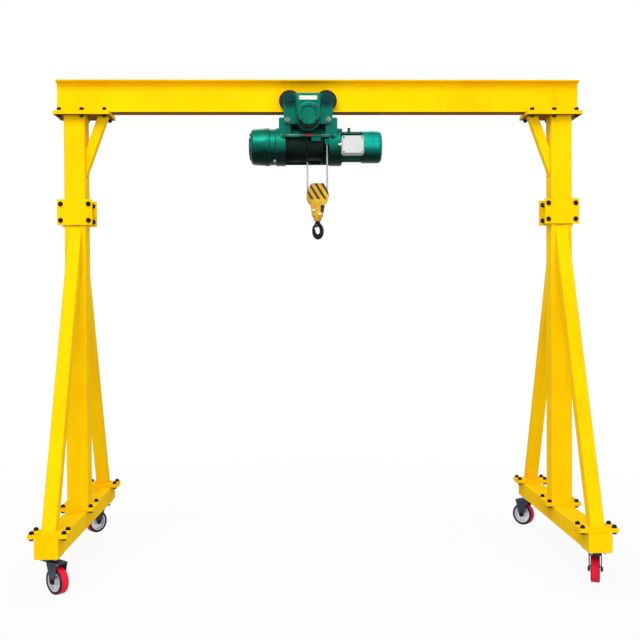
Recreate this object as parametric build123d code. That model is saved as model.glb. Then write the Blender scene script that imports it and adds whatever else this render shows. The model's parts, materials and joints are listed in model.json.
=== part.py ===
from build123d import *
import math
import os

os.makedirs("parts", exist_ok=True)

# Portal frame, all sizes in millimetres
leg_spacing = 3014
beam_overhang = 118
beam_length = leg_spacing + 2 * beam_overhang
beam_height = 200
beam_width = 100
beam_web = 7
flange_edge = 7.5
flange_slope = 1 / 6
beam_root_radius = 9
beam_toe_radius = 4
plate_thick = 12
bolt_hole = 17.5
column_side = 130
column_wall = 6
tube_corner = 9
lower_column_length = 1814
upper_column_length = 594
cap_length = 340
cap_width = 220
cap_inset = cap_length / 2 - beam_overhang
cap_bolt_pitch = 138
cap_bolt_row = 90
knee_side = 60
knee_wall = 4
knee_lean = 20
knee_head_inset = 167
splice_width = 214
splice_height = 158
splice_bolt_x = 85
splice_bolt_z = 50

# Ground frame of each leg
base_width = 130
base_height = 106
base_wall = 6
base_length = 1660
base_cap_thick = 6
column_foot = 214
column_foot_bolt = 85
brace_side = 80
brace_wall = 4
brace_tip_gap = 8
brace_foot_setback = 20
brace_foot_width = 214
brace_foot_depth = 136
brace_foot_bolt_x = 88
brace_foot_bolt_y = 48

# Swivel casters
caster_height = 203
caster_end_inset = 100
caster_plate_length = 140
caster_plate_width = 112
caster_plate_thick = 8
caster_bolt_x = 52
caster_bolt_y = 38
caster_bolt_hole = 11
race_radius = 36
race_height = 8
crown_thick = 6
crown_back = 42
crown_front = 106
crown_corner = 14
fork_inner = 60
fork_wall = 6
fork_eye = 17
fork_shoulder_start = 8
fork_shoulder_end = 104
kingpin_radius = 14
kingpin_height = 8
caster_trail = 60
wheel_radius = 75
wheel_width = 50
tyre_thick = 17
tyre_edge = 7
hub_radius = 20
hub_width = 57
hub_flare = 3
hub_web_half = 6
hub_rim_lip = 6
hub_rim_draft = 3
hub_side_inset = 2
axle_radius = 10

# Trolley that runs on the lower flange
trolley_x = -70
trolley_wheel_pitch = 226
tread_radius = 56
tread_inner = 20
tread_middle = 35
rim_inner = 55
rim_outer = 65
rim_radius = 66
trolley_axle_radius = 15
trolley_axle_end = 14
side_plate_inner = 75
side_plate_thick = 10
side_plate_lobe = 44
side_plate_boss = 22
side_notch_radius = 54
side_notch_rise = 62
hanger_spread = 252
hanger_drop = 58
hanger_radius = 12
hanger_overrun = 26
drive_case_depth = 50
drive_case_round = 30
drive_case_half = 50
drive_case_rise = 72
drive_case_rim = 3
drive_case_edge = 10
axle_pocket_gap = 1
travel_motor_drop = 62
travel_motor_radius = 64
travel_motor_cap_radius = 70
travel_motor_length = 190
travel_motor_cap_length = 55
travel_motor_foot = 14
travel_motor_edge = 9
travel_motor_dish = 46
travel_motor_dish_slope = 4
travel_motor_dish_depth = 6

# Wire rope hoist, along the beam
hoist_drop = 202.5
hoist_back = 40
casing_radius = 119
casing_wall = 8
casing_left = -185
casing_right = 182
window_left = -140
window_right = 130
window_top_angle = 22
window_end_angle = -118
lug_inner = 108
lug_outer = 181
lug_head = 21
lug_corner = 10
lug_front = 65
lug_rear = 65
lug_root_depth = 70
gear_housing_left = -254
gear_flange_thick = 14
gear_neck_depth = 6
gear_neck_slope = 4
gear_cover_left = -369
gear_cover_flange = 12
gear_cover_step = 2
gear_cover_draft = 6
gear_cover_edge = 24
gear_boss_radius = 58
gear_boss_flare = 6
gear_boss_height = 12
motor_flange_right = 204
motor_right = 342
motor_core_radius = 86
motor_fin_radius = 95
motor_fin_count = 28
motor_fin_thick = 5
motor_fin_root = 8
motor_fin_end = 8
motor_pad_half_width = 45
motor_pad_half_height = 34
motor_pad_root = 40
motor_gland_radius = 9
motor_gland_height = 30
motor_gland_root = 6
motor_gland_offset = 14
fan_cover_right = 461
fan_cover_radius = 102
fan_cover_wall = 3
fan_cover_edge = 26
fan_cover_seat = 6
fan_cover_seat_depth = 4
fan_cover_gap = 0.5
fan_slot_count = 12
fan_slot_width = 8
fan_slot_inner = 26
fan_slot_outer = 70
drum_radius = 84.2
drum_left = -150
drum_right = 92
drum_flange_radius = 103
drum_flange_thick = 8
journal_radius = 22
gear_journal_depth = 26
motor_journal_depth = 14
journal_end_gap = 2
rope_radius = 5.5
rope_lead_radius = 90
rope_anchor_reach = 14
rope_anchor_half = 12
rope_anchor_height = 36
control_box_left = 204
control_box_width = 136
control_box_height = 113
control_box_depth = 86
control_box_rise = -15
control_box_corner = 12
control_lid_depth = 16
control_lid_inset = 3
control_lid_edge = 6
control_pad_reach = 108
limit_rod_radius = 5
limit_rod_reach = 121
limit_rod_rise = 55
limit_bracket = 22
limit_bracket_spread = 300
limit_bracket_front = 10
limit_bracket_root = 40
limit_stop_x = 4
limit_stop_radius = 10
limit_stop_length = 24
switch_left = 19
switch_right = 78
switch_front = 122
switch_rear = 106
switch_bottom = 18
switch_top = 42
switch_tab_front = 112
switch_tab_rear = 98
switch_tab_top = 56

# Hook block on two falls of rope
hook_offset = 56
sheave_drop = 317.5
sheave_pitch_radius = 61
sheave_radius = 66
sheave_rim_half = 12
sheave_rim_depth = 20
sheave_hub_half = 15
sheave_hub_radius = 28
sheave_web_half = 5
sheave_groove_flare = 2
sheave_pin_radius = 14
sheave_pin_end = 6
cheek_inner = 20
cheek_thick = 8
cheek_radius = 69
cheek_top = 76
cheek_top_half = 38
cheek_head_height = 10
bridge_thick = 5
bridge_half = 35
tail_half = 44
tail_root = 30
tail_shoulder = 64
tail_foot_half = 34
tail_drop = 125
notch_depth = 26
notch_top = 60
notch_bottom = 104
notch_corner = 8
crosshead_half = 31
crosshead_top = 72
cup_rim = 8
cup_radius = 29
cup_draft = 1
cup_foot_radius = 20
cup_drop = 157
shank_radius = 13
shank_length = 60
shank_root = 52
bowl_drop = 57
hook_turn = 42
latch_pivot_rise = 47
latch_pin_radius = 3
latch_ear_thick = 2.5
latch_ear_radius = 7

# Clearances
running_gap = 0.3
pin_gap = 0.2
seat_gap = 0.1
latch_side_gap = 0.8

# Levels
base_bottom = caster_height
base_top = base_bottom + base_height
foot_top = base_top + 2 * plate_thick
splice_level = foot_top + lower_column_length
cap_bottom = splice_level + upper_column_length
beam_bottom = cap_bottom + 2 * plate_thick
leg_x = leg_spacing / 2
caster_y = base_length / 2 - caster_end_inset
brace_foot_y = base_length / 2 - brace_foot_setback - brace_foot_depth / 2
column_face = column_side / 2
brace_tip = splice_level - splice_height / 2 - brace_tip_gap
flange_top_middle = beam_bottom + flange_edge + (beam_width / 2 - tread_middle) * flange_slope
trolley_wheel_z = flange_top_middle + tread_radius + running_gap
hanger_z = beam_bottom - hanger_drop
travel_motor_z = beam_bottom - travel_motor_drop
hoist_z = beam_bottom - hoist_drop
rope_y = hoist_back - rope_lead_radius
sheave_z = hoist_z - sheave_drop
hook_x = trolley_x + hook_offset
bowl_z = sheave_z - cup_drop - bowl_drop
axle_z = wheel_radius
fork_outer = fork_inner / 2 + fork_wall
crown_top = caster_height - caster_plate_thick - 2 * race_height
side_plate_outer = side_plate_inner + side_plate_thick
eighth_turn = math.radians(45)


# Shared shapes
def block(x0, x1, y0, y1, z0, z1):
    middle = Pos((x0 + x1) / 2, (y0 + y1) / 2, (z0 + z1) / 2)
    return middle * Box(x1 - x0, y1 - y0, z1 - z0)


def rod(radius, start, end):
    run = Vector(*end) - Vector(*start)
    return extrude(Plane(origin=start, z_dir=run) * Circle(radius), run.length)


def soften(profile, points, radius):
    chosen = []
    for vertex in profile.vertices():
        near = [point for point in points if math.dist(point, (vertex.X, vertex.Y)) < seat_gap]
        if near:
            chosen.append(vertex)
    return fillet(chosen, radius)


def outline(points):
    return make_face(Polyline(points, close=True))


def turned(points):
    return revolve(outline(points), Axis.X)


def upright(profile, y0, y1):
    return Pos(0, y1, 0) * extrude(Plane.XZ * profile, y1 - y0)


def tube_section(width, height, wall):
    outer = RectangleRounded(width, height, tube_corner)
    inner = RectangleRounded(width - 2 * wall, height - 2 * wall, tube_corner - wall / 2)
    return outer - inner


def drilled_plate(length, width, holes):
    plate = Box(length, width, plate_thick)
    for x, y in holes:
        plate -= Pos(x, y, 0) * Cylinder(bolt_hole / 2, plate_thick)
    return plate


def corners(x, y):
    return [(x, y), (-x, y), (x, -y), (-x, -y)]


def save(name, *pieces):
    solids = []
    for piece in pieces:
        solids.extend(piece.solids())
    shape = solids[0] if len(solids) == 1 else Compound(solids)
    export_step(shape, f"parts/{name}.step")


# Rolled beam with tapered flanges
def beam_section():
    half = beam_width / 2
    web = beam_web / 2
    top = beam_height / 2
    edge = top - flange_edge
    root = edge - (half - web) * flange_slope
    right = [(half, top), (half, edge), (web, root), (web, -root), (half, -edge), (half, -top)]
    left = [(-y, -z) for y, z in right]
    section = outline(right + left)
    section = soften(section, corners(web, root), beam_root_radius)
    return soften(section, corners(half, edge), beam_toe_radius)


def main_beam():
    beam = extrude(Plane.YZ.offset(-beam_length / 2) * beam_section(), beam_length)
    return Pos(0, 0, beam_bottom + beam_height / 2) * beam


# Bolted seat between beam and column
def end_plate(side, bottom):
    holes = []
    for step in (-1, 0, 1):
        holes.append((step * cap_bolt_pitch, cap_bolt_row))
        holes.append((step * cap_bolt_pitch, -cap_bolt_row))
    plate = drilled_plate(cap_length, cap_width, holes)
    return Pos(side * (leg_x - cap_inset), 0, bottom + plate_thick / 2) * plate


def column(side, bottom, length):
    section = tube_section(column_side, column_side, column_wall)
    return Pos(side * leg_x, 0, bottom) * extrude(section, length)


def knee_brace(side):
    lean = math.radians(knee_lean)
    head = leg_x - knee_head_inset
    way = (math.sin(lean), 0, -math.cos(lean))
    section = tube_section(knee_side, knee_side, knee_wall)
    reach = 4 * knee_head_inset
    axis = Plane(origin=(head, 0, cap_bottom), x_dir=(0, 1, 0), z_dir=way)
    bar = extrude(axis.offset(-reach / 4) * section, reach)
    bar &= block(head - reach, leg_x - column_face, -knee_side, knee_side, cap_bottom - reach, cap_bottom)
    return bar if side > 0 else mirror(bar, Plane.YZ)


def splice_plate(side, face):
    plate = Box(splice_width, plate_thick, splice_height)
    for x, z in corners(splice_bolt_x, splice_bolt_z):
        plate -= Pos(x, 0, z) * Rot(90, 0, 0) * Cylinder(bolt_hole / 2, plate_thick)
    return Pos(side * leg_x, face * (column_face + plate_thick / 2), splice_level) * plate


# Ground frame
def leg_brace(side, face):
    run = brace_foot_y - column_face
    rise = brace_tip - foot_top
    lean = math.atan2(run, rise) + math.asin(brace_side / 2 / math.hypot(run, rise))
    way = (0, -math.sin(lean), math.cos(lean))
    section = tube_section(brace_side, brace_side, brace_wall)
    axis = Plane(origin=(side * leg_x, brace_foot_y, foot_top), x_dir=(1, 0, 0), z_dir=way)
    bar = extrude(axis.offset(-brace_side) * section, lower_column_length + 2 * brace_side)
    x0 = side * leg_x - brace_side
    bar &= block(x0, x0 + 2 * brace_side, column_face, base_length, foot_top, cap_bottom)
    return bar if face > 0 else mirror(bar, Plane.XZ)


def foot_plates(side, bottom):
    column_holes = corners(column_foot_bolt, column_foot_bolt)
    brace_holes = corners(brace_foot_bolt_x, brace_foot_bolt_y)
    middle = drilled_plate(column_foot, column_foot, column_holes)
    z = bottom + plate_thick / 2
    plates = [Pos(side * leg_x, 0, z) * middle]
    for face in (-1, 1):
        foot = drilled_plate(brace_foot_width, brace_foot_depth, brace_holes)
        plates.append(Pos(side * leg_x, face * brace_foot_y, z) * foot)
    return plates


def base_beam(side):
    run = base_length - 2 * base_cap_thick
    section = tube_section(base_width, base_height, base_wall)
    tube = extrude(Plane.XZ.offset(-run / 2) * section, run)
    return Pos(side * leg_x, 0, base_bottom + base_height / 2) * tube


def base_cap(side, face):
    section = RectangleRounded(base_width, base_height, tube_corner)
    cap = extrude(Plane.XZ * section, base_cap_thick / 2, both=True)
    y = face * (base_length / 2 - base_cap_thick / 2)
    return Pos(side * leg_x, y, base_bottom + base_height / 2) * cap


# Casters, built about the swivel axis with the wheel trailing along X
def caster_plate():
    plate = Box(caster_plate_length, caster_plate_width, caster_plate_thick)
    for x, y in corners(caster_bolt_x, caster_bolt_y):
        plate -= Pos(x, y, 0) * Cylinder(caster_bolt_hole / 2, caster_plate_thick)
    plate = Pos(0, 0, caster_height - caster_plate_thick / 2) * plate
    race_z = caster_height - caster_plate_thick - race_height / 2
    return plate + Pos(0, 0, race_z) * Cylinder(race_radius, race_height)


def caster_fork():
    crown_bottom = crown_top - crown_thick
    crown_face = RectangleRounded(crown_front + crown_back, 2 * fork_outer, crown_corner)
    fork = Pos((crown_front - crown_back) / 2, 0, crown_bottom) * extrude(crown_face, crown_thick)
    fork += Pos(0, 0, crown_top) * extrude(Circle(race_radius), race_height - running_gap)
    kingpin = extrude(RegularPolygon(kingpin_radius, 6), kingpin_height)
    fork += Pos(0, 0, crown_bottom - kingpin_height) * kingpin
    eye = Pos(caster_trail, axle_z) * Circle(fork_eye)
    shoulder_middle = (fork_shoulder_start + fork_shoulder_end) / 2
    shoulder = Rectangle(fork_shoulder_end - fork_shoulder_start, crown_thick)
    shoulder = Pos(shoulder_middle, crown_bottom + crown_thick / 2) * shoulder
    leg = make_hull((eye + shoulder).edges())
    fork += upright(leg, fork_inner / 2, fork_outer)
    fork += upright(leg, -fork_outer, -fork_inner / 2)
    fork += rod(axle_radius, (caster_trail, -fork_outer, axle_z), (caster_trail, fork_outer, axle_z))
    return fork


def caster_hub():
    rim = wheel_radius - tyre_thick
    bore = axle_radius + pin_gap
    half = wheel_width / 2 - hub_side_inset
    lip = rim - hub_rim_lip
    left = [
        (-hub_width / 2, bore), (-hub_width / 2, hub_radius), (-hub_web_half, hub_radius + hub_flare),
        (-hub_web_half, lip - hub_rim_draft), (-half, lip), (-half, rim),
    ]
    right = [(-x, r) for x, r in reversed(left)]
    return Pos(caster_trail, 0, axle_z) * Rot(0, 0, 90) * turned(left + right)


def caster_tyre():
    inner = wheel_radius - tyre_thick + seat_gap
    half = wheel_width / 2
    cut = tyre_edge * (1 - math.cos(eighth_turn))
    left = [
        (-half, inner), (-half, wheel_radius - tyre_edge), (-half + cut, wheel_radius - cut),
        (-half + tyre_edge, wheel_radius),
    ]
    right = [(-x, r) for x, r in reversed(left)]
    return Pos(caster_trail, 0, axle_z) * Rot(0, 0, 90) * turned(left + right)


# Trolley pieces, built about the trolley middle
def trolley_wheel(x, face):
    def radius_at(reach):
        return tread_radius + (reach - tread_middle) * flange_slope

    bore = trolley_axle_radius + pin_gap
    wheel = turned([
        (tread_inner, bore), (tread_inner, radius_at(tread_inner)), (rim_inner, radius_at(rim_inner)),
        (rim_inner, rim_radius), (rim_outer, rim_radius), (rim_outer, bore),
    ])
    return Pos(x, 0, trolley_wheel_z) * Rot(0, 0, 90 * face) * wheel


def trolley_side(face):
    spots = Sketch()
    wheel_x = trolley_wheel_pitch / 2
    for x in (-1, 1):
        spots += Pos(x * wheel_x, trolley_wheel_z) * Circle(side_plate_lobe)
        spots += Pos(x * hanger_spread / 2, hanger_z) * Circle(side_plate_boss)
    profile = make_hull(spots.edges())
    profile -= Pos(0, trolley_wheel_z + side_notch_rise) * Circle(side_notch_radius)
    for x in (-1, 1):
        profile -= Pos(x * hanger_spread / 2, hanger_z) * Circle(hanger_radius + pin_gap)
    plate = upright(profile, side_plate_inner, side_plate_outer)
    for x in (-1, 1):
        start = (x * wheel_x, tread_inner, trolley_wheel_z)
        end = (x * wheel_x, side_plate_outer + trolley_axle_end, trolley_wheel_z)
        plate += rod(trolley_axle_radius, start, end)
    return plate if face > 0 else mirror(plate, Plane.XZ)


def hanger_rod(x):
    reach = side_plate_outer + hanger_overrun
    return rod(hanger_radius, (x, -reach, hanger_z), (x, reach, hanger_z))


def drive_case():
    spots = Pos(0, travel_motor_z) * Circle(travel_motor_cap_radius + drive_case_rim)
    for x in (-1, 1):
        spots += Pos(x * drive_case_half, beam_bottom + drive_case_rise) * Circle(drive_case_round)
    profile = make_hull(spots.edges())
    body = upright(profile, -side_plate_outer - drive_case_depth, -side_plate_outer)
    front = body.faces().sort_by(Axis.Y)[0]
    body = fillet(front.edges(), drive_case_edge)
    pocket = trolley_axle_radius + axle_pocket_gap
    pocket_front = -side_plate_outer - trolley_axle_end - axle_pocket_gap
    for x in (-1, 1):
        wheel_x = x * trolley_wheel_pitch / 2
        start = (wheel_x, pocket_front, trolley_wheel_z)
        body -= rod(pocket, start, (wheel_x, -side_plate_outer, trolley_wheel_z))
    return body


def travel_motor():
    start = side_plate_outer + drive_case_depth
    end = start + travel_motor_length
    cap = end - travel_motor_cap_length
    floor = end - travel_motor_dish_depth
    rim = (end, travel_motor_cap_radius)
    profile = outline([
        (start, 0), (start, travel_motor_cap_radius), (start + travel_motor_foot, travel_motor_cap_radius),
        (start + travel_motor_foot, travel_motor_radius), (cap, travel_motor_radius),
        (cap, travel_motor_cap_radius), rim, (end, travel_motor_dish),
        (floor, travel_motor_dish - travel_motor_dish_slope), (floor, 0),
    ])
    profile = soften(profile, [rim], travel_motor_edge)
    return Pos(0, 0, travel_motor_z) * Rot(0, 0, -90) * revolve(profile, Axis.X)


# Hoist pieces, turned about the drum axis
def on_hoist_axis(piece):
    return Pos(0, hoist_back, hoist_z) * piece


def ring(radius, x0, x1):
    return turned([(x0, 0), (x0, radius), (x1, radius), (x1, 0)])


def facing(angle, reach):
    turn = math.radians(angle)
    return (-reach * math.cos(turn), reach * math.sin(turn))


def hanger_lug(side):
    eye = hanger_z - hoist_z
    top = eye + lug_head
    bottom = casing_radius - lug_root_depth
    middle = side * (lug_inner + lug_outer) / 2
    lug = Pos(middle, (top + bottom) / 2) * RectangleRounded(lug_outer - lug_inner, top - bottom, lug_corner)
    lug -= Pos(side * hanger_spread / 2, eye) * Circle(hanger_radius + pin_gap)
    return upright(lug, -hoist_back - lug_front, -hoist_back + lug_rear)


def rod_bracket(x):
    half = limit_bracket / 2
    front = -limit_rod_reach - limit_bracket_front
    rear = -limit_rod_reach + limit_bracket_root
    return block(x - half, x + half, front, rear, limit_rod_rise - half, limit_rod_rise + half)


def limit_switch():
    case = block(switch_left, switch_right, -switch_front, -switch_rear, switch_bottom, switch_top)
    tab = block(switch_left, switch_right, -switch_tab_front, -switch_tab_rear, switch_bottom, switch_tab_top)
    tab -= ring(casing_radius - casing_wall, switch_left, switch_right)
    return case + tab


def drum_casing():
    casing = ring(casing_radius, casing_left, casing_right)
    for side in (-1, 1):
        casing += hanger_lug(side) + rod_bracket(side * limit_bracket_spread / 2)
    casing -= ring(casing_radius - casing_wall, casing_left, casing_right)
    reach = 2 * casing_radius
    steps = [window_top_angle, 0, -40, -80, window_end_angle]
    sector = outline([(0, 0)] + [facing(angle, reach) for angle in steps])
    casing -= extrude(Plane.YZ.offset(window_left) * sector, window_right - window_left)
    casing += limit_switch()
    bore = limit_rod_radius + pin_gap
    rod_line = (-limit_rod_reach, limit_rod_rise)
    casing -= rod(bore, (casing_left, *rod_line), (casing_right, *rod_line))
    return on_hoist_axis(casing)


def limit_rod():
    rod_line = (-limit_rod_reach, limit_rod_rise)
    end = limit_bracket_spread / 2 + limit_bracket
    bar = rod(limit_rod_radius, (-end, *rod_line), (end, *rod_line))
    stop_start = limit_stop_x - limit_stop_length / 2
    stop_end = limit_stop_x + limit_stop_length / 2
    bar += rod(limit_stop_radius, (stop_start, *rod_line), (stop_end, *rod_line))
    return on_hoist_axis(bar)


def gear_housing():
    neck = casing_radius - gear_neck_depth
    left_flange = gear_housing_left + gear_flange_thick
    right_flange = casing_left - gear_flange_thick
    housing = turned([
        (gear_housing_left, 0), (gear_housing_left, casing_radius), (left_flange, casing_radius),
        (left_flange + gear_neck_slope, neck), (right_flange - gear_neck_slope, neck),
        (right_flange, casing_radius), (casing_left, casing_radius), (casing_left, 0),
    ])
    housing -= ring(journal_radius + pin_gap, casing_left - gear_journal_depth, casing_left)
    return on_hoist_axis(housing)


def gear_cover():
    face = gear_cover_left + gear_boss_height
    flange = gear_housing_left - gear_cover_flange
    wall = casing_radius - gear_cover_step
    shoulder = (face, wall - gear_cover_draft)
    profile = outline([
        (gear_cover_left, 0), (gear_cover_left, gear_boss_radius), (face, gear_boss_radius + gear_boss_flare),
        shoulder, (flange, wall), (flange, casing_radius),
        (gear_housing_left, casing_radius), (gear_housing_left, 0),
    ])
    profile = soften(profile, [shoulder], gear_cover_edge)
    return on_hoist_axis(revolve(profile, Axis.X))


def motor_housing():
    flange = ring(casing_radius, casing_right, motor_flange_right)
    flange -= ring(journal_radius + pin_gap, casing_right, casing_right + motor_journal_depth)
    motor = flange + ring(motor_core_radius, motor_flange_right, motor_right)
    fin = block(motor_flange_right, motor_right - motor_fin_end, -motor_fin_thick / 2, motor_fin_thick / 2,
                motor_core_radius - motor_fin_root, motor_fin_radius)
    for step in range(motor_fin_count):
        motor += Rot(step * 360 / motor_fin_count, 0, 0) * fin
    middle = control_box_left + control_box_width / 2
    motor += block(middle - motor_pad_half_width, middle + motor_pad_half_width,
                   -control_pad_reach, -motor_pad_root,
                   control_box_rise - motor_pad_half_height, control_box_rise + motor_pad_half_height)
    gland = extrude(Circle(motor_gland_radius), motor_gland_height)
    motor += Pos(middle - motor_gland_offset, 0, motor_fin_radius - motor_gland_root) * gland
    anchor = block(hook_offset + sheave_pitch_radius - rope_anchor_reach, casing_right,
                   -rope_lead_radius - rope_anchor_half, -rope_lead_radius + rope_anchor_half,
                   0, rope_anchor_height)
    return on_hoist_axis(motor + anchor)


def fan_cover():
    inner = fan_cover_radius - fan_cover_wall
    end = fan_cover_right - fan_cover_wall
    skirt = motor_right - motor_fin_end
    seat = motor_core_radius - fan_cover_seat_depth
    over_fins = motor_fin_radius + fan_cover_gap
    outer_corner = (fan_cover_right, fan_cover_radius)
    inner_corner = (end, inner)
    profile = outline([
        (skirt, over_fins), (skirt, fan_cover_radius), outer_corner, (fan_cover_right, 0), (end, 0),
        inner_corner, (motor_right + fan_cover_seat, inner), (motor_right + fan_cover_seat, seat),
        (motor_right, seat), (motor_right, over_fins),
    ])
    profile = soften(profile, [outer_corner], fan_cover_edge)
    profile = soften(profile, [inner_corner], fan_cover_edge - fan_cover_wall)
    cover = revolve(profile, Axis.X)
    slot = block(end - fan_cover_wall, fan_cover_right, -fan_slot_width / 2, fan_slot_width / 2,
                 fan_slot_inner, fan_slot_outer)
    for step in range(fan_slot_count):
        cover -= Rot(step * 360 / fan_slot_count, 0, 0) * slot
    return on_hoist_axis(cover)


def rope_drum():
    left = drum_left + drum_flange_thick
    right = drum_right - drum_flange_thick
    rope_end = hook_offset - sheave_pitch_radius - rope_radius - running_gap
    packed = rope_lead_radius + rope_radius
    journal_left = casing_left - gear_journal_depth + journal_end_gap
    journal_right = casing_right + motor_journal_depth - journal_end_gap
    return on_hoist_axis(turned([
        (journal_left, 0), (journal_left, journal_radius), (drum_left, journal_radius),
        (drum_left, drum_flange_radius), (left, drum_flange_radius), (left, packed), (rope_end, packed),
        (rope_end, drum_radius), (right, drum_radius), (right, drum_flange_radius),
        (drum_right, drum_flange_radius), (drum_right, journal_radius),
        (journal_right, journal_radius), (journal_right, 0),
    ]))


def control_box():
    back = -control_pad_reach
    lid_back = back - control_box_depth + control_lid_depth
    bottom = control_box_rise - control_box_height / 2
    top = control_box_rise + control_box_height / 2
    right = control_box_left + control_box_width
    inset = control_lid_inset
    case = block(control_box_left, right, lid_back, back, bottom, top)
    case = fillet(case.edges().filter_by(Axis.Y), control_box_corner)
    lid = block(control_box_left + inset, right - inset, lid_back - control_lid_depth, lid_back,
                bottom + inset, top - inset)
    lid = fillet(lid.edges().filter_by(Axis.Y), control_box_corner)
    lid = fillet(lid.faces().sort_by(Axis.Y)[0].edges(), control_lid_edge)
    return on_hoist_axis(case + lid)


# Rope falls and hook block, built about the sheave middle
def rope_falls():
    falls = []
    for x in (-sheave_pitch_radius, sheave_pitch_radius):
        falls.append(rod(rope_radius, (hook_x + x, rope_y, sheave_z), (hook_x + x, rope_y, hoist_z)))
    return falls


def on_sheave(piece):
    return Pos(hook_x, rope_y, sheave_z) * piece


def rope_wrap():
    section = Plane.XY * Pos(sheave_pitch_radius, 0) * Circle(rope_radius)
    return on_sheave(revolve(section, Axis.Y, 180))


def sheave():
    bore = sheave_pin_radius + pin_gap
    rim_root = sheave_radius - sheave_rim_depth
    groove = rope_radius + running_gap
    flat = groove * math.tan(eighth_turn / 2)
    left = [
        (-sheave_hub_half, bore), (-sheave_hub_half, sheave_hub_radius),
        (-sheave_web_half, sheave_hub_radius), (-sheave_web_half, rim_root),
        (-sheave_rim_half, rim_root), (-sheave_rim_half, sheave_radius),
        (-groove - sheave_groove_flare, sheave_radius), (-groove, sheave_pitch_radius),
        (-groove, sheave_pitch_radius - flat), (-flat, sheave_pitch_radius - groove),
    ]
    right = [(-x, r) for x, r in reversed(left)]
    return on_sheave(Rot(0, 0, 90) * turned(left + right))


def block_cheek():
    disc = Circle(cheek_radius)
    head = Pos(0, cheek_top - cheek_head_height / 2) * Rectangle(2 * cheek_top_half, cheek_head_height)
    upper = make_hull((disc + head).edges())
    tail = outline([
        (-tail_half, -tail_root), (tail_half, -tail_root), (tail_half, -tail_shoulder),
        (tail_foot_half, -tail_drop), (-tail_foot_half, -tail_drop), (-tail_half, -tail_shoulder),
    ])
    notch = RectangleRounded(2 * notch_depth, notch_bottom - notch_top, notch_corner)
    return upper + tail - Pos(tail_half, -(notch_top + notch_bottom) / 2) * notch


def block_casing():
    outer = cheek_inner + cheek_thick
    front = upright(block_cheek(), -outer, -cheek_inner)
    casing = front + Rot(0, 0, 180) * front
    casing += block(-bridge_half, bridge_half, -cheek_inner, cheek_inner, cheek_top - bridge_thick, cheek_top)
    casing += block(-crosshead_half, crosshead_half, -cheek_inner, cheek_inner, -tail_drop, -crosshead_top)
    cup = turned([
        (tail_drop - cup_rim, 0), (tail_drop - cup_rim, cup_radius),
        (tail_drop + cup_rim, cup_radius - cup_draft),
        (cup_drop, cup_foot_radius), (cup_drop, 0),
    ])
    casing += Rot(0, 90, 0) * cup
    casing += rod(sheave_pin_radius, (0, -outer - sheave_pin_end, 0), (0, outer + sheave_pin_end, 0))
    casing -= rod(shank_radius + running_gap, (0, 0, -cup_drop), (0, 0, -cup_drop + shank_length))
    return on_sheave(casing)


def in_bowl(piece):
    return Pos(hook_x, rope_y, bowl_z) * Rot(0, 0, hook_turn) * piece


# Forged hook, stations run from the neck round the bowl to the point
hook_stations = [
    (0, 54, 0, -1, 26, 26),
    (2, 46, 0.35, -0.93, 26, 26),
    (14, 35, 0.8, -0.75, 25, 24),
    (30, 19, 0.45, -0.9, 26, 24),
    (35, 0, 0, -1, 27, 24),
    (26.5, -26.5, -0.72, -0.7, 31, 26),
    (0, -39, -1, 0, 34, 27),
    (-25, -26, -0.68, 0.73, 28, 24),
    (-33.5, 0, -0.08, 1, 22, 19),
    (-37, 20, -0.2, 1, 11, 10),
]


def hook():
    sections = []
    for u, z, du, dz, width, thick in hook_stations:
        plane = Plane(origin=(u, 0, z), x_dir=(dz, 0, -du), z_dir=(du, 0, dz))
        sections.append(plane * Ellipse(width / 2, thick / 2))
    body = loft(sections)
    body += rod(shank_radius, (0, 0, shank_root), (0, 0, bowl_drop + shank_length - running_gap))
    pin = latch_pin_radius + pin_gap
    body -= rod(pin, (0, -2 * shank_radius, latch_pivot_rise), (0, 2 * shank_radius, latch_pivot_rise))
    return in_bowl(body)


def hook_latch():
    inner = shank_radius + latch_side_gap
    outer = inner + latch_ear_thick
    ear = Pos(0, latch_pivot_rise) * Circle(latch_ear_radius)
    arm = outline([(-2, latch_pivot_rise + 6), (-28.5, 22), (-27, 16), (-20, 18), (5, latch_pivot_rise - 4)])
    profile = ear + arm
    latch = upright(profile, inner, outer) + upright(profile, -outer, -inner)
    web = outline([(-19, 32.5), (-28.5, 22), (-27, 16), (-24.5, 17), (-25.5, 21), (-17, 30.5)])
    latch += upright(web, -outer, outer)
    latch += rod(latch_pin_radius, (0, -outer, latch_pivot_rise), (0, outer, latch_pivot_rise))
    return in_bowl(latch)


# Write every piece in place
sides = {"left": -1, "right": 1}
save("main_beam", main_beam())
save("beam_saddle_plates", *[end_plate(side, cap_bottom + plate_thick) for side in sides.values()])
save("column_cap_plates", *[end_plate(side, cap_bottom) for side in sides.values()])
save("knee_braces", *[knee_brace(side) for side in sides.values()])
splices = []
braces_feet = []
base_seats = []
base_caps = []
for name, side in sides.items():
    save(f"upper_column_{name}", column(side, splice_level, upper_column_length))
    save(f"lower_column_{name}", column(side, foot_top, lower_column_length))
    save(f"leg_braces_{name}", leg_brace(side, -1), leg_brace(side, 1))
    save(f"base_beam_{name}", base_beam(side))
    splices += [splice_plate(side, -1), splice_plate(side, 1)]
    braces_feet += foot_plates(side, base_top + plate_thick)
    base_seats += foot_plates(side, base_top)
    base_caps += [base_cap(side, -1), base_cap(side, 1)]
save("column_splice_plates", *splices)
save("leg_foot_plates", *braces_feet)
save("base_seat_plates", *base_seats)
save("base_end_caps", *base_caps)

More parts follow.
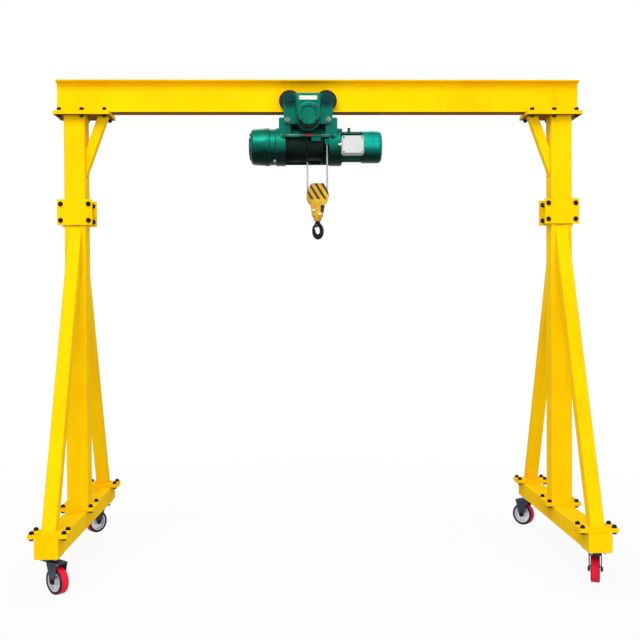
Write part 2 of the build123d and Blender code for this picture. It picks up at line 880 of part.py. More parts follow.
# Casters stand as they were left after the last push
caster_turns = {
    "front_left": (-1, -1, -42),
    "front_right": (1, -1, 72),
    "rear_left": (-1, 1, 228),
    "rear_right": (1, 1, 138),
}
plates = []
for name, (side, face, turn) in caster_turns.items():
    spot = Pos(side * leg_x, face * caster_y, 0)
    plates.append(spot * Rot(0, 0, 90) * caster_plate())
    save(f"caster_fork_{name}", spot * Rot(0, 0, turn) * caster_fork())
    save(f"caster_hub_{name}", spot * Rot(0, 0, turn) * caster_hub())
    save(f"caster_tyre_{name}", spot * Rot(0, 0, turn) * caster_tyre())
save("caster_plates", *plates)

# Trolley and hoist hang together from the beam
carried = {
    "trolley_side_front": [trolley_side(-1)],
    "trolley_side_rear": [trolley_side(1)],
    "hanger_rods": [hanger_rod(-hanger_spread / 2), hanger_rod(hanger_spread / 2)],
    "drive_case": [drive_case()],
    "travel_motor": [travel_motor()],
    "drum_casing": [drum_casing()],
    "limit_rod": [limit_rod()],
    "gear_housing": [gear_housing()],
    "gear_cover": [gear_cover()],
    "motor_housing": [motor_housing()],
    "fan_cover": [fan_cover()],
    "rope_drum": [rope_drum()],
    "control_box": [control_box()],
}
for face_name, face in {"front": -1, "rear": 1}.items():
    for side_name, side in sides.items():
        wheel = trolley_wheel(side * trolley_wheel_pitch / 2, face)
        carried[f"trolley_wheel_{face_name}_{side_name}"] = [wheel]
for name, pieces in carried.items():
    save(name, *[Pos(trolley_x, 0, 0) * piece for piece in pieces])

save("rope_falls", *rope_falls())
save("rope_wrap", rope_wrap())
save("sheave", sheave())
save("block_casing", block_casing())
save("hook", hook())
save("hook_latch", hook_latch())
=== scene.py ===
import json
import math
from functools import partial
import bpy
from mathutils import Matrix, Vector


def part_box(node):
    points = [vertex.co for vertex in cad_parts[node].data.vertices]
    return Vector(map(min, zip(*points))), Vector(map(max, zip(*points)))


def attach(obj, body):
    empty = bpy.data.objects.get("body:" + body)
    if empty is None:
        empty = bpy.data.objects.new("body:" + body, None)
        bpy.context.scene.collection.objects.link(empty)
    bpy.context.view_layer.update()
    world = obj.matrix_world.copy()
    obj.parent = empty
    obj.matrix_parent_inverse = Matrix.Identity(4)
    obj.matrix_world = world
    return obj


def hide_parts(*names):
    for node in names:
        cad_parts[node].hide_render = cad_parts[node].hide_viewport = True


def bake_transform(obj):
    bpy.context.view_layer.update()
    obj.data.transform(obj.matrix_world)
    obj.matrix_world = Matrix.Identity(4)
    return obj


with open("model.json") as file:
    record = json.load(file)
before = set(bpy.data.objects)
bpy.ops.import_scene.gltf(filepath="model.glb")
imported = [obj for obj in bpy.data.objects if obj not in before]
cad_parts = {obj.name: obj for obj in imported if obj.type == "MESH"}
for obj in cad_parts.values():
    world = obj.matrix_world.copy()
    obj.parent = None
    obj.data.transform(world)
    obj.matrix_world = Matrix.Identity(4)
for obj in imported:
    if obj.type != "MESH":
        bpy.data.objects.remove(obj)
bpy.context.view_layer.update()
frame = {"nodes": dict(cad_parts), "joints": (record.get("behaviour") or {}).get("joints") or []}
nodes = frame["nodes"]
scene = bpy.context.scene
print("frame loaded,", len(nodes), "nodes")


# small helpers for objects and node trees
def linkNew(name, data):
    thing = bpy.data.objects.new(name, data)
    scene.collection.objects.link(thing)
    return thing


def addNode(tree, kind, inputs=None, **settings):
    node = tree.nodes.new(kind)
    for name, value in settings.items():
        setattr(node, name, value)
    for name, value in (inputs or {}).items():
        if isinstance(value, bpy.types.NodeSocket):
            tree.links.new(value, node.inputs[name])
        else:
            node.inputs[name].default_value = value
    return node


def calc(tree, operation, first, second=0.5, clamp=False):
    node = addNode(tree, "ShaderNodeMath", {0: first, 1: second}, operation=operation, use_clamp=clamp)
    return node.outputs[0]


def vectorCalc(tree, operation, first, second=(0, 0, 0), port=1, output="Vector"):
    node = addNode(tree, "ShaderNodeVectorMath", {0: first, port: second}, operation=operation)
    return node.outputs[output]


def remap(tree, value, low, high, start=0.0, end=1.0):
    inputs = {"Value": value, "From Min": low, "From Max": high, "To Min": start, "To Max": end}
    return addNode(tree, "ShaderNodeMapRange", inputs).outputs["Result"]


def tone(red, green, blue):  # screen colour 0 to 255 to linear
    def linear(value):
        value /= 255
        return value / 12.92 if value <= 0.04045 else ((value + 0.055) / 1.055) ** 2.4

    return (linear(red), linear(green), linear(blue), 1.0)


def blendColour(tree, mask, under, over):  # over is a screen colour
    inputs = {0: mask, 6: under, 7: tone(*over)}
    return addNode(tree, "ShaderNodeMix", inputs, data_type="RGBA").outputs[2]


def objectSpot(tree):
    return addNode(tree, "ShaderNodeTexCoord").outputs["Object"]


def axesOf(tree, vector):
    return addNode(tree, "ShaderNodeSeparateXYZ", {0: vector}).outputs


def seenDirectly(tree):  # camera, glossy and transmission rays
    path = addNode(tree, "ShaderNodeLightPath")
    rays = calc(tree, "ADD", path.outputs["Is Camera Ray"], path.outputs["Is Glossy Ray"], True)
    return calc(tree, "ADD", rays, path.outputs["Is Transmission Ray"], True)


socketTypes = {float: "NodeSocketFloat", int: "NodeSocketInt", bool: "NodeSocketBool"}


def newGroup(name, kind, inputs, outputs):  # an input gives its starting value or its socket's type
    tree = bpy.data.node_groups.new(name, kind)
    for label, value in inputs.items():
        socketType = socketTypes.get(type(value), value)
        socket = tree.interface.new_socket(label, in_out="INPUT", socket_type=socketType)
        if socketType != value:
            socket.default_value = value
    for label, socketType in outputs.items():
        tree.interface.new_socket(label, in_out="OUTPUT", socket_type=socketType)
    return tree, addNode(tree, "NodeGroupInput").outputs, addNode(tree, "NodeGroupOutput")


# camera and studio
cameraPlace = {"spot": (-0.1627, -6.064, 1.5689), "lens": 54.45, "sensor": 36.0,
               "turn": (-1.525, -0.886, -0.305)}  # yaw, pitch and roll in degrees
studio = {
    "floorSize": 60.0,
    "floorShade": 0.55,
    "floorGlow": 0.93,  # share of the floor that stays white to the eye, all of it far away
    "nearFloor": 1.6,
    "farFloor": 4.5,
    "skyLight": 0.63,
    "lamps": [  # spot, aim, size, watts
        ((-2.0, -5.6, 7.8), (0.0, 0.0, 1.8), 4.0, 405.0),
        ((2.0, -8.0, 2.6), (0.0, 0.0, 1.4), 6.0, 205.0),
        ((0.5, 5.5, 6.5), (0.0, 0.0, 1.6), 5.0, 220.0),
    ],
}


def makeCamera(values):
    data = bpy.data.cameras.new("photoCamera")
    data.lens = values["lens"]
    data.sensor_width = values["sensor"]
    data.dof.use_dof = False
    camera = linkNew("photoCamera", data)
    yaw, pitch, roll = (math.radians(value) for value in values["turn"])
    level = Matrix.Rotation(yaw, 4, "Z") @ Matrix.Rotation(math.pi / 2 + pitch, 4, "X")
    camera.location = values["spot"]
    camera.rotation_euler = (level @ Matrix.Rotation(roll, 4, "Z")).to_euler()
    scene.camera = camera


def makeFloor(values):
    size = values["floorSize"] / 2
    mesh = bpy.data.meshes.new("studioFloor")
    square = [(-size, -size, 0), (size, -size, 0), (size, size, 0), (-size, size, 0)]
    mesh.from_pydata(square, [], [(0, 1, 2, 3)])
    linkNew("studioFloor", mesh)
    material = bpy.data.materials.new("paleFloor")
    material.use_nodes = True
    tree = material.node_tree
    tree.nodes.clear()
    shade = values["floorShade"]
    plain = addNode(tree, "ShaderNodeBsdfDiffuse", {"Color": (shade, shade, shade, 1)})
    glow = addNode(tree, "ShaderNodeEmission", {"Color": (1, 1, 1, 1), "Strength": 1.0})
    away = vectorCalc(tree, "LENGTH", objectSpot(tree), output="Value")
    white = remap(tree, away, values["nearFloor"], values["farFloor"], values["floorGlow"], 1.0)
    share = calc(tree, "MULTIPLY", seenDirectly(tree), white)
    both = addNode(tree, "ShaderNodeMixShader", {0: share, 1: plain.outputs[0], 2: glow.outputs[0]})
    addNode(tree, "ShaderNodeOutputMaterial", {"Surface": both.outputs[0]})
    mesh.materials.append(material)


def makeLight(values):
    world = bpy.data.worlds.new("studioSky")
    world.use_nodes = True
    tree = world.node_tree
    background = tree.nodes["Background"].inputs
    background["Color"].default_value = (1, 1, 1, 1)
    strength = remap(tree, seenDirectly(tree), 0, 1, values["skyLight"], 1.0)
    tree.links.new(strength, background["Strength"])
    scene.world = world
    for step, (spot, aim, width, watts) in enumerate(values["lamps"]):
        data = bpy.data.lights.new(f"softLamp{step}", "AREA")
        data.size = width
        data.energy = watts
        lamp = linkNew(data.name, data)
        lamp.location = spot
        lamp.rotation_euler = (Vector(aim) - Vector(spot)).to_track_quat("-Z", "Y").to_euler()


scene.view_settings.view_transform = "Standard"
makeCamera(cameraPlace)
makeFloor(studio)
makeLight(studio)
print("camera and studio ready")


# shared effects: worn edges, and age as patches, dust and streaks, with painted shade on faces that turn
# downward
edgeShape = {"samples": 4, "flat": 0.985, "turned": 0.86, "detail": 6.0, "rough": 0.65,
             "chipRange": (0.5, 0.62)}
ageShape = {
    "peelDetail": 2.0, "patchDetail": 6.0, "patchRough": 0.6, "patchRange": (0.35, 0.68),
    "gritDetail": 9.0, "gritRough": 0.7, "gritRange": (0.38, 0.72),
    "upRange": (0.3, 0.95), "upShare": 0.7, "lowRange": (0.75, 0.1), "lowShare": 0.45,  # where dust settles
    # on the next line, one value roughens the edge of the painted underside shade and the rest shape the
    # streaks
    "shadeJitter": 0.6, "runScale": (26.0, 26.0, 1.6), "runDetail": 4.0, "runRange": (0.54, 0.72),
}


def noise(tree, spot, scale, detail, rough=0.5):
    inputs = {"Vector": spot, "Scale": scale, "Detail": detail, "Roughness": rough}
    return addNode(tree, "ShaderNodeTexNoise", inputs).outputs["Fac"]


def makeEdgeWear(values):
    inputs = {"Edge width": 0.003, "Chip scale": 60.0, "Amount": 0.5}
    outputs = {"Mask": "NodeSocketFloat", "Soft normal": "NodeSocketVector"}
    tree, given, result = newGroup("edgeWear", "ShaderNodeTree", inputs, outputs)
    soft = addNode(tree, "ShaderNodeBevel", {"Radius": given["Edge width"]}, samples=values["samples"])
    flat = addNode(tree, "ShaderNodeNewGeometry")
    facing = vectorCalc(tree, "DOT_PRODUCT", soft.outputs[0], flat.outputs["Normal"], output="Value")
    edge = remap(tree, facing, values["flat"], values["turned"])
    chips = noise(tree, objectSpot(tree), given["Chip scale"], values["detail"], values["rough"])
    broken = remap(tree, chips, *values["chipRange"])
    mask = calc(tree, "MULTIPLY", calc(tree, "MULTIPLY", edge, broken), given["Amount"], True)
    tree.links.new(mask, result.inputs["Mask"])
    tree.links.new(soft.outputs[0], result.inputs["Soft normal"])
    return tree


def makeAgedSurface(values):
    inputs = {"Peel scale": 260.0, "Patch scale": 5.0, "Dust scale": 18.0, "Under shade from": -0.5,
              "Under shade to": -0.95}
    outputs = dict.fromkeys(["Height", "Patch", "Dust", "Streak", "Under shade"], "NodeSocketFloat")
    tree, given, result = newGroup("agedSurface", "ShaderNodeTree", inputs, outputs)
    place = addNode(tree, "ShaderNodeTexCoord").outputs
    spot = place["Object"]
    peel = noise(tree, spot, given["Peel scale"], values["peelDetail"])
    patch = noise(tree, spot, given["Patch scale"], values["patchDetail"], values["patchRough"])
    grit = noise(tree, spot, given["Dust scale"], values["gritDetail"], values["gritRough"])
    up = axesOf(tree, place["Normal"])["Z"]
    upward = calc(tree, "MULTIPLY", remap(tree, up, *values["upRange"]), values["upShare"])
    level = axesOf(tree, spot)["Z"]
    low = calc(tree, "MULTIPLY", remap(tree, level, *values["lowRange"]), values["lowShare"])
    settled = calc(tree, "ADD", upward, low)
    dust = calc(tree, "MULTIPLY", settled, remap(tree, grit, *values["gritRange"]), True)
    shadeJitter = calc(tree, "MULTIPLY", calc(tree, "SUBTRACT", patch, 0.5), values["shadeJitter"])
    # painted shade on faces that turn downward, its edge roughened by the patch noise
    underShade = remap(tree, calc(tree, "ADD", up, shadeJitter), given["Under shade from"], given["Under shade to"])
    stretched = addNode(tree, "ShaderNodeMapping", {"Vector": spot, "Scale": values["runScale"]})
    run = noise(tree, stretched.outputs[0], 1.0, values["runDetail"])
    found = {"Height": peel, "Patch": remap(tree, patch, *values["patchRange"]), "Dust": dust,
             "Streak": remap(tree, run, *values["runRange"]), "Under shade": underShade}
    for label, value in found.items():
        tree.links.new(value, result.inputs[label])
    return tree


edgeWear = makeEdgeWear(edgeShape)
agedSurface = makeAgedSurface(ageShape)


# finishes
finishShape = {"dustRough": 0.3, "peelDepth": 0.0008, "coatRough": 0.12, "shadeFadeSpan": 0.02,
               "shadeKeptShare": 0.12}


def placeGroup(tree, group, look, keys):
    node = addNode(tree, "ShaderNodeGroup", node_tree=group)
    for label, key in keys.items():
        node.inputs[label].default_value = look[key]
    return node.outputs


def makeFinish(name, look, pattern=None):
    material = bpy.data.materials.new(name)
    material.use_nodes = True
    tree = material.node_tree
    shader = tree.nodes["Principled BSDF"].inputs
    wornKeys = {"Edge width": "edge", "Chip scale": "chipScale", "Amount": "chips"}
    agedKeys = {"Peel scale": "peelScale", "Patch scale": "patchScale", "Dust scale": "dustScale",
                "Under shade from": "underShadeFrom", "Under shade to": "underShadeTo"}
    worn = placeGroup(tree, edgeWear, look, wornKeys)
    aged = placeGroup(tree, agedSurface, look, agedKeys)
    colour = blendColour(tree, aged["Patch"], tone(*look["main"]), look["patch"])
    if pattern:
        colour = pattern(tree, colour)
    streak = calc(tree, "MULTIPLY", aged["Streak"], look["streaks"])
    dust = calc(tree, "MULTIPLY", aged["Dust"], look["dustAmount"])
    # painted shade on downward faces, blended in the look's dark colour below
    underShade = calc(tree, "MULTIPLY", aged["Under shade"], look["underShadeAmount"])
    if "shadeFadeAbove" in look:  # level over which the painted shade on undersides is mostly left out
        level = axesOf(tree, objectSpot(tree))["Z"]
        shadeKept = remap(tree, level, look["shadeFadeAbove"], look["shadeFadeAbove"] + finishShape["shadeFadeSpan"], 1.0,
                      finishShape["shadeKeptShare"])
        underShade = calc(tree, "MULTIPLY", underShade, shadeKept)
    for mask, over in [(streak, "streak"), (dust, "dust"), (underShade, "underShade"), (worn["Mask"], "chip")]:
        colour = blendColour(tree, mask, colour, look[over])
    tree.links.new(colour, shader["Base Color"])
    rough = remap(tree, aged["Patch"], 0, 1, *look["rough"])
    dusty = calc(tree, "MULTIPLY", aged["Dust"], finishShape["dustRough"])
    tree.links.new(calc(tree, "ADD", rough, dusty, True), shader["Roughness"])
    bump = addNode(tree, "ShaderNodeBump", {"Strength": look["peel"], "Distance": finishShape["peelDepth"],
                                            "Height": aged["Height"], "Normal": worn["Soft normal"]})
    tree.links.new(bump.outputs[0], shader["Normal"])
    shader["Metallic"].default_value = look["metal"]
    shader["Coat Weight"].default_value = look["coat"]
    shader["Coat Roughness"].default_value = finishShape["coatRough"]
    shader["Specular IOR Level"].default_value = look["sheen"]
    return material


def middleOf(name):
    low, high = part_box(name)
    return (low + high) / 2


paintLook = {  # values a paint shop would change, others start from these
    "main": (252, 209, 2), "patch": (249, 194, 2), "streak": (214, 146, 6), "streaks": 0.14,
    "dust": (196, 132, 24), "dustAmount": 0.12, "chip": (150, 104, 34), "chips": 0.5,
    "edge": 0.004, "chipScale": 38.0, "peelScale": 240.0, "patchScale": 2.4, "dustScale": 14.0,
    "rough": (0.58, 0.68), "peel": 0.10, "metal": 0.0, "coat": 0.0, "sheen": 0.02,
    # the next line's dark brown is painted shade for downward faces
    "underShade": (104, 48, 8), "underShadeAmount": 0.94, "underShadeFrom": -0.5, "underShadeTo": -0.9,
}
greenLook = {
    **paintLook, "main": (0, 126, 104), "patch": (0, 110, 90), "streak": (0, 62, 52), "streaks": 0.3,
    "dust": (120, 140, 124), "dustAmount": 0.18, "chip": (140, 158, 146), "chips": 0.35, "edge": 0.003,
    "chipScale": 70.0, "patchScale": 9.0, "peelScale": 300.0, "rough": (0.30, 0.38), "peel": 0.12,
    # the next line's near-black is painted shade for downward faces
    "metal": 0.55, "sheen": 0.1, "underShade": (0, 16, 15), "underShadeAmount": 0.96, "underShadeFrom": 0.38, "underShadeTo": -0.5,
}
metalLook = {**paintLook, "underShade": (40, 38, 36), "underShadeAmount": 0.5}  # plain metal, rubber and the pale box, with painted shade on downward faces at half strength
looks = {
    "frameYellow": paintLook,
    # the beam's painted underside shade is mostly left out above its middle height
    "beamYellow": {**paintLook, "shadeFadeAbove": middleOf("main_beam").z},
    "hoistGreen": greenLook,
    "fanGreenLit": {  # paint lightened on the fan cover as a painted highlight
        **greenLook, "main": (6, 164, 146), "patch": (2, 146, 128), "rough": (0.24, 0.32), "underShadeFrom": 0.2,
        "underShadeTo": -0.6,
    },
    "boxPale": {
        **metalLook, "main": (206, 209, 208), "patch": (198, 201, 200), "streak": (186, 182, 172),
        "streaks": 0.18, "dust": (170, 164, 150), "chip": (176, 176, 172), "chips": 0.3, "edge": 0.002,
        "patchScale": 10.0, "rough": (0.34, 0.44), "peel": 0.08, "coat": 0.1,
    },
    "zincSteel": {
        **metalLook, "main": (198, 200, 203), "patch": (176, 180, 186), "streak": (150, 146, 140),
        "streaks": 0.4, "dust": (128, 118, 100), "chip": (226, 226, 226), "edge": 0.0015, "chipScale": 90.0,
        "patchScale": 30.0, "rough": (0.3, 0.48), "peel": 0.12, "metal": 0.85,
    },
    "dullZinc": {
        **metalLook, "main": (96, 138, 120), "patch": (70, 110, 96), "streak": (48, 76, 66), "streaks": 0.4,
        "dust": (112, 112, 96), "chip": (206, 212, 208), "edge": 0.0012, "chipScale": 90.0,
        "patchScale": 30.0, "rough": (0.34, 0.5), "peel": 0.12, "metal": 0.45, "sheen": 0.3,
    },
    "darkIron": {
        **metalLook, "main": (34, 34, 33), "patch": (46, 44, 42), "streak": (70, 52, 40), "streaks": 0.25,
        "dust": (92, 84, 74), "chip": (120, 118, 114), "chips": 0.6, "edge": 0.002, "chipScale": 80.0,
        "patchScale": 24.0, "rough": (0.38, 0.56), "peel": 0.3, "metal": 0.55,
    },
    # the forks are bright zinc; this dark navy is painted shade
    "forkPaintedShade": {
        **metalLook, "main": (58, 62, 80), "patch": (42, 45, 62), "streak": (86, 80, 84), "streaks": 0.3,
        "dust": (112, 106, 104), "chip": (170, 172, 178), "chips": 0.6, "edge": 0.002, "chipScale": 80.0,
        "patchScale": 22.0, "rough": (0.34, 0.5), "peel": 0.15, "metal": 0.4, "sheen": 0.3,
    },
    "hubMetal": {
        **metalLook, "main": (226, 227, 232), "patch": (208, 209, 218), "streak": (120, 118, 124),
        "streaks": 0.3, "dust": (130, 122, 110), "chip": (236, 236, 238), "chips": 0.4, "edge": 0.0015,
        "chipScale": 90.0, "patchScale": 26.0, "rough": (0.3, 0.46), "peel": 0.16, "metal": 0.6,
        "underShadeAmount": 0.0,
    },
    "tyreRed": {
        **metalLook, "main": (254, 22, 58), "patch": (242, 14, 48), "streak": (150, 14, 28), "streaks": 0.2,
        "dust": (140, 60, 60), "dustAmount": 0.3, "chip": (150, 40, 40), "chips": 0.2, "edge": 0.003,
        "chipScale": 60.0, "patchScale": 16.0, "rough": (0.3, 0.42), "peel": 0.12, "coat": 0.15,
        "underShadeAmount": 0.0,
    },
    "blockYellow": {
        **paintLook, "main": (222, 178, 24), "patch": (190, 140, 16), "streak": (96, 66, 16),
        "streaks": 0.45, "dust": (120, 98, 50), "chip": (70, 56, 34), "chips": 0.8, "edge": 0.003,
        "chipScale": 70.0, "patchScale": 18.0, "rough": (0.3, 0.44), "coat": 0.3,
    },
    "ropeSteel": {
        **metalLook, "main": (192, 190, 199), "patch": (170, 168, 176), "streak": (84, 76, 66),
        "streaks": 0.3, "dust": (70, 62, 50), "chip": (200, 200, 204), "chips": 0.2, "edge": 0.0005,
        "patchScale": 30.0, "rough": (0.34, 0.5), "metal": 0.7,
    },
    # rope on the drum and the drum itself painted dark green as shade inside the casing, with more painted
    # shade underneath
    "shadedDrumRope": {
        **metalLook, "main": (44, 66, 54), "patch": (30, 46, 38), "streak": (36, 28, 20), "streaks": 0.4,
        "dust": (58, 48, 36), "chip": (120, 120, 118), "chips": 0.3, "edge": 0.0006, "patchScale": 14.0,
        "rough": (0.34, 0.5), "metal": 0.3, "underShade": (6, 7, 6), "underShadeAmount": 0.95, "underShadeFrom": 0.2,
        "underShadeTo": -0.7,
    },
    "boltBlack": {
        **metalLook, "main": (30, 27, 25), "patch": (44, 38, 33), "streak": (80, 54, 32), "streaks": 0.3,
        "dust": (96, 82, 58), "chip": (112, 104, 96), "edge": 0.001, "chipScale": 120.0, "patchScale": 60.0,
        "rough": (0.38, 0.55), "peel": 0.2, "metal": 0.5,
    },
    "plateCream": {
        **metalLook, "main": (236, 232, 222), "patch": (224, 220, 210), "streak": (170, 160, 140),
        "streaks": 0.2, "dust": (150, 140, 120), "chip": (170, 170, 166), "edge": 0.0006,
        "patchScale": 20.0, "rough": (0.3, 0.4), "peel": 0.05, "coat": 0.1,
    },
}
patterned = ["tyreRed", "blockYellow"]  # made with their patterns below
finishes = {name: makeFinish(name, look) for name, look in looks.items() if name not in patterned}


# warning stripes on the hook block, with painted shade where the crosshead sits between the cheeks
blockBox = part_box("block_casing")
stripes = {"pitch": 0.034, "share": 0.42, "lean": math.radians(58), "soft": 0.03, "ink": (46, 34, 16),
           "floor": 0.135, "floorFade": 0.004, "inner": (60, 40, 22), "cheekInner": 0.0203,
           "cheekFade": 0.0004, "cupTop": (0.031, 0.033)}


def stripeBlock(tree, colour):
    spot = axesOf(tree, objectSpot(tree))
    along = calc(tree, "MULTIPLY", spot["X"], math.sin(stripes["lean"]) / stripes["pitch"])
    down = calc(tree, "MULTIPLY", spot["Z"], math.cos(stripes["lean"]) / stripes["pitch"])
    wave = calc(tree, "PINGPONG", calc(tree, "ADD", along, down), 0.5)
    edge = 0.5 - stripes["share"] / 2
    ink = remap(tree, wave, edge - stripes["soft"], edge + stripes["soft"])
    floor = blockBox[0].z + stripes["floor"]
    upper = remap(tree, spot["Z"], floor - stripes["floorFade"], floor + stripes["floorFade"])
    colour = blendColour(tree, calc(tree, "MULTIPLY", ink, upper), colour, stripes["ink"])
    # painted shade on the crosshead between the cheeks, above the cup
    middle = (blockBox[0].y + blockBox[1].y) / 2
    depth = calc(tree, "ABSOLUTE", calc(tree, "SUBTRACT", spot["Y"], middle))
    inside = remap(tree, depth, stripes["cheekInner"] + stripes["cheekFade"], stripes["cheekInner"])
    aboveCup = remap(tree, spot["Z"], *[blockBox[0].z + level for level in stripes["cupTop"]])
    return blendColour(tree, calc(tree, "MULTIPLY", inside, aboveCup), colour, stripes["inner"])


finishes["blockYellow"] = makeFinish("blockYellow", looks["blockYellow"], stripeBlock)


# tyres show dark side walls and a red tread
tyreSide = {"wall": (38, 36, 54), "from": 0.0185, "to": 0.0205}  # distance from the wheel's middle


def makeTyreFinish(name, axle, centre):
    def darkWalls(tree, colour):
        away = vectorCalc(tree, "SUBTRACT", objectSpot(tree), centre)
        across = vectorCalc(tree, "DOT_PRODUCT", away, axle, output="Value")
        wall = remap(tree, calc(tree, "ABSOLUTE", across), tyreSide["from"], tyreSide["to"])
        return blendColour(tree, wall, colour, tyreSide["wall"])

    return makeFinish(name, looks["tyreRed"], darkWalls)


# the stop on the limit rod is red
rodStop = {"ink": (206, 26, 40), "radius": 0.0075, "fade": 0.0004}


def paintStop(tree, colour):
    middle = middleOf("limit_rod")
    spot = vectorCalc(tree, "SUBTRACT", objectSpot(tree), (0, middle.y, middle.z))
    flat = vectorCalc(tree, "MULTIPLY", spot, (0, 1, 1))
    reach = vectorCalc(tree, "LENGTH", flat, output="Value")
    stop = remap(tree, reach, rodStop["radius"], rodStop["radius"] + rodStop["fade"])
    return blendColour(tree, stop, colour, rodStop["ink"])


finishes["rodSteel"] = makeFinish("rodSteel", looks["dullZinc"], paintStop)


# the side plates darker round the wheel axles
axleDarkening = {"ink": (6, 40, 50), "inner": 0.036, "outer": 0.058, "amount": 0.85}


def darkenRoundAxles(tree, colour):
    flat = vectorCalc(tree, "MULTIPLY", objectSpot(tree), (1, 0, 1))
    near = []
    for side in ("left", "right"):
        wheel = middleOf(f"trolley_wheel_front_{side}")
        reach = vectorCalc(tree, "DISTANCE", flat, (wheel.x, 0, wheel.z), output="Value")
        near.append(remap(tree, reach, axleDarkening["outer"], axleDarkening["inner"], 0.0, axleDarkening["amount"]))
    return blendColour(tree, calc(tree, "MAXIMUM", *near), colour, axleDarkening["ink"])


finishes["plateGreen"] = makeFinish("plateGreen", greenLook, darkenRoundAxles)


def dress(name, finish):
    thing = nodes[name]
    if not thing.data.materials:
        thing.data.materials.append(finish)
    for holder in thing.material_slots:
        holder.material = finish


corners = ["front_left", "front_right", "rear_left", "rear_right"]
wearers = {
    "beamYellow": ["main_beam"],
    "frameYellow": ["beam_saddle_plates", "column_cap_plates", "knee_braces", "column_splice_plates",
                    "leg_foot_plates", "base_seat_plates", "base_end_caps"]
                   + [f"{part}_{side}" for side in ("left", "right")
                      for part in ("upper_column", "lower_column", "leg_braces", "base_beam")],
    "hoistGreen": ["drive_case", "travel_motor", "drum_casing", "gear_housing", "gear_cover",
                   "motor_housing"],
    "fanGreenLit": ["fan_cover"],
    "plateGreen": ["trolley_side_front", "trolley_side_rear"],
    "boxPale": ["control_box"],
    "zincSteel": ["caster_plates"],
    "dullZinc": ["hanger_rods"],
    "rodSteel": ["limit_rod"],
    "darkIron": ["hook", "hook_latch", "sheave"] + [f"trolley_wheel_{corner}" for corner in corners],
    "blockYellow": ["block_casing"],
    "ropeSteel": ["rope_falls", "rope_wrap"],
    "shadedDrumRope": ["rope_drum"],
    "forkPaintedShade": [f"caster_fork_{corner}" for corner in corners],
    "hubMetal": [f"caster_hub_{corner}" for corner in corners],
}
for finishName, names in wearers.items():
    for name in names:
        dress(name, finishes[finishName])


def jointOf(name):
    return next(joint for joint in frame["joints"] if joint["name"] == name)


axles = {corner: Vector(jointOf(f"caster_roll_{corner}")["axis"]).normalized() for corner in corners}
for corner in corners:
    centre = jointOf(f"caster_roll_{corner}")["pos_m"]
    dress(f"caster_tyre_{corner}", makeTyreFinish(f"tyreRed_{corner}", axles[corner], centre))
print("finishes on", sum(len(names) for names in wearers.values()) + len(corners), "nodes")


# geometry node trees for bolts, rope and weld beads
def endTree(tree, given, result, geometry):
    real = addNode(tree, "GeometryNodeRealizeInstances", {0: geometry})
    inputs = {"Geometry": real.outputs[0], "Material": given["Finish"]}
    done = addNode(tree, "GeometryNodeSetMaterial", inputs)
    tree.links.new(done.outputs[0], result.inputs[0])
    return tree


def joined(tree, parts):
    node = addNode(tree, "GeometryNodeJoinGeometry")
    for part in parts:
        tree.links.new(part, node.inputs[0])
    return node.outputs[0]


